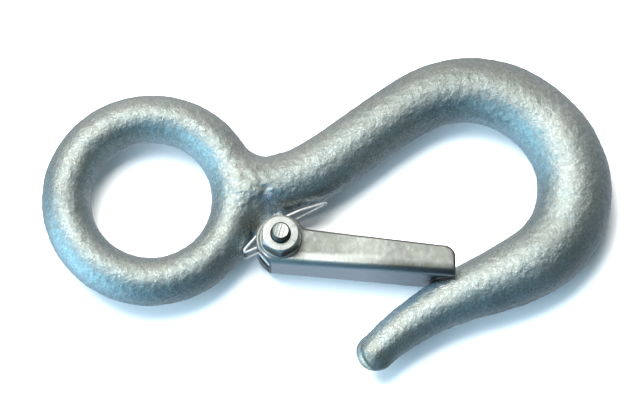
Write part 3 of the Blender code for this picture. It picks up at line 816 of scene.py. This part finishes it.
def ear_holes():
    build = bmesh.new()
    bmesh.ops.create_cone(build, cap_ends=True, segments=72, radius1=EAR_HOLE_R * MM,
                          radius2=EAR_HOLE_R * MM, depth=24 * MM)
    bmesh.ops.translate(build, verts=build.verts, vec=(PIVOT[0] * MM, PIVOT[1] * MM, 0.0))
    return from_bmesh("ear_holes", build)


def latch_shell():
    """The channel's outer faces: two cheeks, each split where it starts to flare, and a web."""
    outline = cheek_outline()
    web_line = (WEB_START, (FLARE_START_X, web_y(FLARE_START_X)), WEB_END)
    flare = EAR_STEPS + 1  # the outline's point where the flare starts
    build = bmesh.new()
    web = {}
    for sign in (1, -1):
        row, low = ([build.verts.new((x * MM, y * MM, sign * half_width(x) * MM))
                     for x, y in line] for line in (outline, web_line))
        near = row[:flare + 1] + [low[1], low[0]]
        far = row[flare:] + [low[2], low[1]]
        for loop in (near, far):
            build.faces.new(loop if sign < 0 else loop[::-1])
        web[sign] = low
    for k in (0, 1):
        build.faces.new((web[1][k], web[1][k + 1], web[-1][k + 1], web[-1][k]))
    bmesh.ops.recalc_face_normals(build, faces=build.faces)
    web_face = min(build.faces, key=lambda face: face.calc_center_median().y)
    if web_face.normal.y > 0:
        bmesh.ops.reverse_faces(build, faces=build.faces)
    return from_bmesh("latch_sheet_metal", build)


def press_marks(mesh):
    """The bend draws the sheet up a little beside the fold; the cheeks are not quite flat."""
    points = read_points(mesh)
    x = points[:, 0]
    above = points[:, 1] - np.array([web_y(place) for place in x])
    rise = np.clip((4.1 - above) / 2.3, 0.0, 1.0)
    rise = rise * rise * (3 - 2 * rise)
    along = np.clip((x - 33.0) / 3.0, 0.0, 1.0) * np.clip((63.0 - x) / 16.0, 0.0, 1.0)
    wave = (turbulence(points, wavelength=9.0, offset=(3, 3, 6), height=0.05)
            + turbulence(points, wavelength=3.1, offset=(2, 8, 5), height=0.018))
    out = 0.15 * rise * along + wave * np.clip((x - 41.0) / 5.0, 0.0, 1.0)
    # away from z = 0, and not on the middle of the web
    points[:, 2] += np.sign(points[:, 2]) * out * (np.abs(points[:, 2]) > 3.5)
    write_points(mesh, points)


def make_latch(face_finish, cut_finish):
    obj = latch_shell()
    obj.data.materials.append(face_finish)
    obj.data.materials.append(cut_finish)
    bevel(obj, BEND_R, segments=9, angle=40)
    modify(obj, "SOLIDIFY", thickness=SHEET * MM, offset=-1.0, use_even_offset=True,
           material_offset_rim=1)
    bake(obj)
    tidy(obj)
    bevel(obj, SHEARED_R, segments=4, angle=50, material=1, use_clamp_overlap=False)
    bake(obj)
    for make_cutter in (ear_holes, tip_room):
        cutter = make_cutter()
        cutter.data.materials.clear()
        cutter.data.materials.append(face_finish)
        cutter.data.materials.append(cut_finish)
        cutter.data.polygons.foreach_set("material_index", [1] * len(cutter.data.polygons))
        cut_away(obj, cutter)
    tidy(obj)
    # a grid of edges across the latch and along it, fine enough to carry the press marks
    planes = [((x * MM, 0, 0), (1, 0, 0)) for x in np.arange(28.0, 82.0, 1.3)]
    lean = math.atan2(WEB_END[1] - WEB_START[1], WEB_END[0] - WEB_START[0])
    planes += [((WEB_START[0] * MM, y * MM, 0), (-math.sin(lean), math.cos(lean), 0))
               for y in np.arange(-22.4, -6.4, 0.7)]
    cut_planes(obj.data, planes)
    press_marks(obj.data)
    shade(obj, 32)
    return obj


# --------------------------------------------------------------- the hardware
# Angles round a hexagon, from corner to corner, with an extra close pair at each corner.
TURN = [math.radians(60 * k + 30 + offset) for k in range(6)
        for offset in (0, 0.8, 5, 10, 15, 20, 25, 30, 35, 40, 45, 50, 55, 59.2)]


def hex_radius(angle):
    """How far the hexagon's side is from the pivot axis in a direction."""
    from_flat = math.radians((math.degrees(angle) - 30.0) % 60.0 - 30.0)
    return min(HEX_FLATS / 2 / math.cos(from_flat),
               HEX_FLATS / math.sqrt(3) - HEX_CORNER_LOSS)


def chamfer(angle):
    """How far the chamfer on a face of the hexagon has fallen at its side."""
    return (hex_radius(angle) - HEX_FLATS / 2 + 0.15) * 0.53


def ring(radius, z):
    return lambda angle: (radius, z)


def lofted(name, rows, closed):
    """Skin through rings round the pivot axis; each row gives radius and height for an angle."""
    build = bmesh.new()
    grid = []
    for row in rows:
        verts = []
        for angle in TURN:
            radius, z = row(angle)
            x, y = arc_point(PIVOT, radius, angle)
            verts.append(build.verts.new((x * MM, y * MM, z * MM)))
        grid.append(verts)
    pairs = list(zip(grid, grid[1:]))
    if closed:
        pairs.append((grid[-1], grid[0]))
    else:
        build.faces.new(grid[-1])
        build.faces.new(list(reversed(grid[0])))
    for low, high in pairs:
        for i in range(len(TURN)):
            k = (i + 1) % len(TURN)
            build.faces.new((low[i], low[k], high[k], high[i]))
    bmesh.ops.recalc_face_normals(build, faces=build.faces)
    return from_bmesh(name, build)


def make_nut(finish):
    """Hexagon nut: chamfered corners on both faces, and a bore opened a little at both ends."""
    seat = SEAT_Z + WASHER_T + STACK_GAP
    bottom, top = seat - 0.14, seat + NUT_T
    half, bore = HEX_FLATS / 2, SCREW_R + 0.12

    def low(angle):
        return bottom + max(0.06, (hex_radius(angle) - half - 0.1) * 0.49)

    def high(angle):
        return top - chamfer(angle)

    obj = lofted("hex_nut", [
        ring(bore, bottom + 0.3),
        ring(bore + 0.29, bottom),
        lambda angle: (min(hex_radius(angle) - 0.06, half + 0.1), bottom),
        lambda angle: (hex_radius(angle), low(angle)),
        lambda angle: (hex_radius(angle), high(angle) - 0.05),
        lambda angle: (hex_radius(angle) - 0.05, high(angle) + 0.026),
        ring(half - 0.105, top - 0.022),
        ring(half - 0.195, top),
        ring(bore + 0.18, top),
        ring(bore + 0.11, top - 0.045),
        ring(bore, top - 0.2)], closed=True)
    obj.data.materials.append(finish)
    shade(obj, 15)
    return obj


def make_washer(finish):
    bottom, top = SEAT_Z + 0.02, SEAT_Z + WASHER_T
    hole, rim, edge = SCREW_R + 0.2, WASHER_R, 0.16
    # section as radius and height, from the hole's top edge outwards and back
    profile = ((hole, top - edge), (hole + edge * 0.3, top - edge * 0.3), (hole + edge, top),
               (rim - edge * 2.2, top), (rim - edge * 1.2, top - edge * 0.25),
               (rim - edge * 0.35, top - edge * 0.95), (rim, top - edge * 1.9),
               (rim, bottom + edge * 0.5), (rim - edge * 0.5, bottom),
               (hole + edge * 0.4, bottom), (hole, bottom + edge * 0.4), (hole, top - edge))
    build = bmesh.new()
    verts = [build.verts.new((radius * MM, 0.0, z * MM)) for radius, z in profile]
    for pair in zip(verts, verts[1:]):
        build.edges.new(pair)
    obj = from_bmesh("plain_washer", build)
    modify(obj, "SCREW", angle=2 * math.pi, steps=96, render_steps=96,
           use_merge_vertices=True, merge_threshold=0.000005)
    bake(obj)
    obj.data.transform(Matrix.Translation((PIVOT[0] * MM, PIVOT[1] * MM, 0.0)))
    tidy(obj, weld=0.004)
    obj.data.materials.append(finish)
    shade(obj, 40)
    return obj


def head_rows():
    """The hexagon head on the -Z side, from its dished face to the start of the shank."""
    half, face, under = HEX_FLATS / 2, -SEAT_Z - HEAD_T, -SEAT_Z

    def low(angle):
        return face + chamfer(angle)

    return [
        ring(0.3, face + 0.26),
        ring(half - 1.56, face + 0.225),
        ring(half - 1.44, face + 0.195),
        ring(half - 0.96, face + 0.022),
        ring(half - 0.84, face),
        ring(half - 0.195, face),
        ring(half - 0.105, face + 0.024),
        lambda angle: (hex_radius(angle) - 0.05, low(angle) - 0.026),
        lambda angle: (hex_radius(angle), low(angle) + 0.05),
        lambda angle: (hex_radius(angle), under - 0.31),
        lambda angle: (hex_radius(angle) - 0.06, under - 0.25),
        ring(half - 0.1, under - 0.25),
        ring(half - 0.1, under - 0.05),
        ring(half - 0.15, under),
        ring(SCREW_R + 0.05, under),
        ring(SCREW_R, under + 0.05)]


def thread_row(z):
    """One ring of the thread, growing in from the plain shank and chamfered at the end."""
    def row(angle):
        phase = (z / THREAD_PITCH - angle / (2 * math.pi)) % 1.0
        crest = min(1.0, max(0.0, (abs(phase * 2 - 1) - 0.12) / 0.74))
        radius = min(SCREW_R - THREAD_DEPTH * (1 - crest),
                     SCREW_R - END_CHAMFER + (SCREW_TOP_Z - z) * 0.95)
        return SCREW_R + (radius - SCREW_R) * min(1.0, (z - THREAD_START_Z) / 0.8), z
    return row


def cropped_row(share):
    """One ring of the cropped end: faintly dished, and uneven where the blank was sheared."""
    def row(angle):
        x, y = share * math.cos(angle), share * math.sin(angle)
        rough = (math.sin(9.1 * x + 4.3 * y + 0.7) * math.sin(8.3 * y - 5.2 * x + 1.9)
                 + 0.7 * math.sin(16.7 * x - 9.3 * y) * math.sin(15.9 * y + 8.1 * x + 0.4))
        dish = 0.04 * (1 - share ** 2)
        return ((SCREW_R - END_CHAMFER) * share,
                SCREW_TOP_Z - dish - 0.022 * (1.7 + rough) * (1 - share ** 6))
    return row


def make_screw(finish, thread):
    """Machine screw: hexagon head on the -Z side, thread and cropped end on the +Z side."""
    length = SCREW_TOP_Z - THREAD_START_Z
    steps = int(length / 0.085)
    rows = head_rows()
    rows += [thread_row(THREAD_START_Z + length * k / steps) for k in range(steps + 1)]
    rows += [cropped_row(share) for share in (0.93, 0.84, 0.74, 0.63, 0.52, 0.41, 0.30, 0.19, 0.09)]
    obj = lofted("threaded_screw", rows, closed=False)
    obj.data.materials.append(finish)
    obj.data.materials.append(thread)
    for face in obj.data.polygons:
        x, y, z = face.center / MM
        threaded = (THREAD_START_Z < z < SCREW_TOP_Z - 0.04 and abs(face.normal.z) < 0.9
                    and math.hypot(x - PIVOT[0], y - PIVOT[1]) < SCREW_R + 0.05)
        face.material_index = 1 if threaded else 0
    shade(obj, 34)
    return obj


# ----------------------------------------------------------------- the spring
def rounded(points, radius, steps=8):
    """The polyline with its inner corners turned into arcs."""
    path = [np.array(points[0], dtype=float)]
    for corner in zip(points, points[1:], points[2:]):
        before, here, after = (np.array(point, dtype=float) for point in corner)
        span_in, span_out = np.linalg.norm(before - here), np.linalg.norm(after - here)
        way_in, way_out = (before - here) / span_in, (after - here) / span_out
        half = math.acos(max(-1.0, min(1.0, float(way_in @ way_out)))) / 2
        run = min(radius / max(math.tan(half), 1e-3), 0.45 * span_in, 0.45 * span_out)
        axis = (way_in + way_out) / np.linalg.norm(way_in + way_out)
        centre = here + axis * (run * math.tan(half) / math.sin(half))
        first = here + way_in * run - centre
        last = here + way_out * run - centre
        sweep = math.pi - 2 * half
        for k in range(steps + 1):
            share = k / steps
            arm = (math.sin((1 - share) * sweep) * first
                   + math.sin(share * sweep) * last) / math.sin(sweep)
            path.append(centre + arm)
    path.append(np.array(points[-1], dtype=float))
    return path


def spring_half():
    """The +Z half from the loop's middle to the leg's end, and how far each point turns
    with the latch."""
    centre = (PIVOT[0] + COIL_SHIFT[0], PIVOT[1] + COIL_SHIFT[1])

    def on_coil(angle, z):
        return (*arc_point(centre, COIL_R, angle), z)

    # the loop's round end, then its side down to the coil
    back = Vector((LOOP_WIDE[0] - LOOP_TIP[0], LOOP_WIDE[1] - LOOP_TIP[1])).normalized()
    points = []
    for k in range(9):
        angle = math.radians(k * 8)
        points.append(np.array((LOOP_TIP[0] + back.x * LOOP_TIP_R * (1 - math.cos(angle)),
                                LOOP_TIP[1] + back.y * LOOP_TIP_R * (1 - math.cos(angle)),
                                LOOP_TIP_R * math.sin(angle))))
    start = on_coil(LOOP_ANGLE, COIL_Z_IN)
    points += rounded([points.pop(), LOOP_WIDE, start], LOOP_BEND_R)[:-1]
    shares = [0.0] * len(points)
    coil_turn = 2 * math.pi + LEG_ANGLE - LOOP_ANGLE
    for k in range(61):
        share = k / 60
        points.append(np.array(on_coil(LOOP_ANGLE + coil_turn * share,
                                       COIL_Z_IN + (COIL_Z_OUT - COIL_Z_IN) * share)))
        shares.append(share)
    rest = WIRE_R + LEG_GAP
    on_web = [(x, web_y(x) + SHEET + rest, z) for x, z in LEG_ON_WEB]
    leg = rounded([points[-1], LEG_BEND, LEG_RETURN, *on_web], LEG_BEND_R)[1:]
    return points + leg, shares + [1.0] * len(leg)


def make_spring(finish):
    """Returns the spring, its wire's path and each path point's share of the latch's turn."""
    half, half_shares = spring_half()
    path = np.array([(x, y, z) for x, y, z in half[::-1]] + [(x, y, -z) for x, y, z in half[1:]])
    shares = np.array(half_shares[::-1] + half_shares[1:])
    mesh = tube_mesh("wire_path", WIRE_R, 4, [(x, y, z, 1.0) for x, y, z in path])
    obj = new_object("torsion_spring", mesh)
    tidy(obj, weld=0.004)
    bevel(obj, 0.08, segments=2, angle=60)
    bake(obj)
    obj.data.materials.clear()
    obj.data.materials.append(finish)
    shade(obj, 50)
    return obj, path, shares


def wind(obj, path, shares):
    """Bakes the spring's placement into its mesh and works out each vertex's share of the latch's
    turn:
    none on the loop, all on the legs, growing evenly along the coil. The shares are not kept. Both
    the spring and its path are in the product's frame here."""
    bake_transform(obj)
    points = read_points(obj.data)
    weights = np.zeros(len(points), dtype=np.float32)
    starts, segments = path[:-1], path[1:] - path[:-1]
    lengths2 = np.maximum((segments ** 2).sum(axis=1), 1e-12)
    for i, point in enumerate(points):
        along = np.clip(((point - starts) * segments).sum(axis=1) / lengths2, 0.0, 1.0)
        gaps2 = ((starts + segments * along[:, None] - point) ** 2).sum(axis=1)
        k = int(gaps2.argmin())
        weights[i] = shares[k] + (shares[k + 1] - shares[k]) * along[k]


# ------------------------------------------------------------------ stage
# Soft room light as broad glows: azimuth from +X and elevation in degrees, tightness, colour.
GLOWS = (
    (145, 63, 36.0, (4.70, 4.85, 4.60)),     # big softbox, high towards -X +Y
    (122, 64, 7.0, (0.60, 0.60, 0.54)),      # the ceiling round it
    (205, 58, 9.0, (0.16, 0.38, 0.58)),      # cool window on the -X side, top
    (207, 16, 11.0, (0.90, 1.74, 2.25)),     # the same window, middle
    (205, -25, 5.0, (0.48, 0.86, 1.18)),     # and what it throws on the table
    (250, 0, 4.0, (0.00, 0.10, 0.20)),       # faint blue from the -Y side
    (95, 0, 2.5, (0.50, 0.47, 0.44)),        # neutral wall on the +Y side
    (110, 50, 4.0, (0.24, 0.235, 0.205)),    # ceiling towards the softbox
    (0, -90, 1.5, (0.29, 0.32, 0.39)),       # table top, as the metal sees it
)
GLOW_REST = (0.050, 0.085, 0.094)
WALL_COLOR = (0.90, 0.91, 0.92)
# the camera looks down, tilted towards -Y: the point aimed at and the width seen there, in mm
VIEW_CENTRE, VIEW_WIDTH = (43.94, -1.77), 166.4
VIEW_TILT, VIEW_DISTANCE = math.radians(17.0), 1.25
SENSOR_WIDTH = 36.0


def direction(azimuth, elevation):
    turn, rise = math.radians(azimuth), math.radians(elevation)
    return Vector((math.cos(turn) * math.cos(rise), math.sin(turn) * math.cos(rise),
                   math.sin(rise)))


def aim(obj, back):
    """Point a light or the camera against the direction `back`."""
    obj.rotation_mode = "QUATERNION"
    obj.rotation_quaternion = (-back).to_track_quat("-Z", "Y")


def world_light():
    world = bpy.data.worlds.new("soft_room")
    bpy.context.scene.world = world
    world.use_nodes = True
    graph = Graph(world.node_tree)
    room = world.node_tree.nodes["Background"]
    view = graph.put("TexCoord", out="Generated")
    total = GLOW_REST
    for azimuth, elevation, tightness, color in GLOWS:
        towards = graph.vector("DOT_PRODUCT", view, direction(azimuth, elevation), out="Value")
        fall = graph.math("MULTIPLY", graph.math("SUBTRACT", towards, 1.0), tightness)
        glow = graph.put("VectorMath", {0: color, "Scale": graph.math("EXPONENT", fall)},
                         operation="SCALE")
        total = graph.vector("ADD", glow, total)
    graph.feed(room.inputs["Color"], total)
    room.inputs["Strength"].default_value = 1.0
    # beyond the table's edge the camera sees a plain pale wall
    wall = graph.put("Background", {"Color": WALL_COLOR})
    seen = graph.put("MixShader", {"Fac": graph.put("LightPath", out="Is Camera Ray"),
                                   1: room.outputs["Background"], 2: wall})
    graph.feed(world.node_tree.nodes["World Output"].inputs["Surface"], seen)


def area_light(name, azimuth, elevation, distance, size, power, color):
    """A square softbox for diffuse light only; reflections show the glows instead."""
    light = bpy.data.lights.new(name, "AREA")
    light.shape = "RECTANGLE"
    light.size = light.size_y = size
    light.energy = power
    light.color = color
    obj = new_object(name, light)
    back = direction(azimuth, elevation)
    obj.location = back * distance
    aim(obj, back)
    obj.visible_glossy = False


def floor(z):
    """Plain pale table top under the hook."""
    build = bmesh.new()
    bmesh.ops.create_grid(build, x_segments=8, y_segments=8, size=2.5)
    bmesh.ops.translate(build, verts=build.verts, vec=(0.0, 0.0, z))
    obj = from_bmesh("floor", build)
    material, graph = new_material("pale_table")
    shader = graph.tree.nodes["Principled BSDF"]
    shader.inputs["Base Color"].default_value = (0.90, 0.90, 0.90, 1.0)
    shader.inputs["Roughness"].default_value = 0.9
    shader.inputs["Specular IOR Level"].default_value = 0.0
    obj.data.materials.append(material)
    obj.visible_glossy = False


def camera():
    target = Vector((VIEW_CENTRE[0] * MM, VIEW_CENTRE[1] * MM, 0.0)) + SHIFT
    back = Vector((0.0, -math.sin(VIEW_TILT), math.cos(VIEW_TILT)))
    data = bpy.data.cameras.new("camera")
    data.sensor_width = SENSOR_WIDTH
    data.lens = SENSOR_WIDTH * VIEW_DISTANCE / (VIEW_WIDTH * MM)
    data.clip_start, data.clip_end = 0.05, 20.0
    obj = new_object("camera", data)
    obj.location = target + back * VIEW_DISTANCE
    aim(obj, back)
    bpy.context.scene.camera = obj


def build_hook():
    forging = make_forging(galvanised_finish())
    latch = make_latch(sheet_finish(), edge_finish())
    nut = make_nut(hardware_finish("nut_zinc_plate", light=0.68, roughness=(0.32, 0.22),
                                   side_shade=0.34, reach=0.5, openness=(0.25, 0.7)))
    washer = make_washer(hardware_finish("washer_zinc_plate", light=0.60, roughness=(0.36, 0.24),
                                         side_shade=0.8, reach=2.2, openness=(0.42, 0.80)))
    screw = make_screw(hardware_finish("screw_zinc_plate", light=0.66, roughness=(0.32, 0.20),
                                       side_shade=0.6, reach=0.7, openness=(0.45, 0.92)),
                       thread_finish())
    spring, path, shares = make_spring(wire_finish())

    for piece in (forging, latch, nut, washer, screw, spring):
        piece.data.transform(Matrix.Translation(SHIFT))
    for piece, cad, body, slot in (
            (forging, "hook_forging", "hook", "galvanised_forging"),
            (nut, "pivot_nut", "hook", "pivot_hardware"),
            (washer, "nut_washer", "hook", "pivot_hardware"),
            (screw, "pivot_screw", "hook", "pivot_hardware"),
            (latch, "latch", "latch", "latch_sheet")):
        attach(piece, body)
        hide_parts(cad)
    wind(spring, path + np.array(SHIFT) / MM, shares)
    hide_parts("latch_spring")


def build_stage():
    world_light()
    area_light("softbox", azimuth=124, elevation=67, distance=1.2, size=0.85, power=31.0,
               color=(1.0, 1.0, 0.98))
    area_light("window", azimuth=215, elevation=40, distance=1.4, size=0.9, power=15.0,
               color=(0.62, 0.82, 1.0))
    floor(cad_low.z - 0.0001)
    camera()
    view = bpy.context.scene.view_settings
    view.view_transform = "Standard"
    view.look = "None"
    view.exposure = 0.0


build_hook()
build_stage()
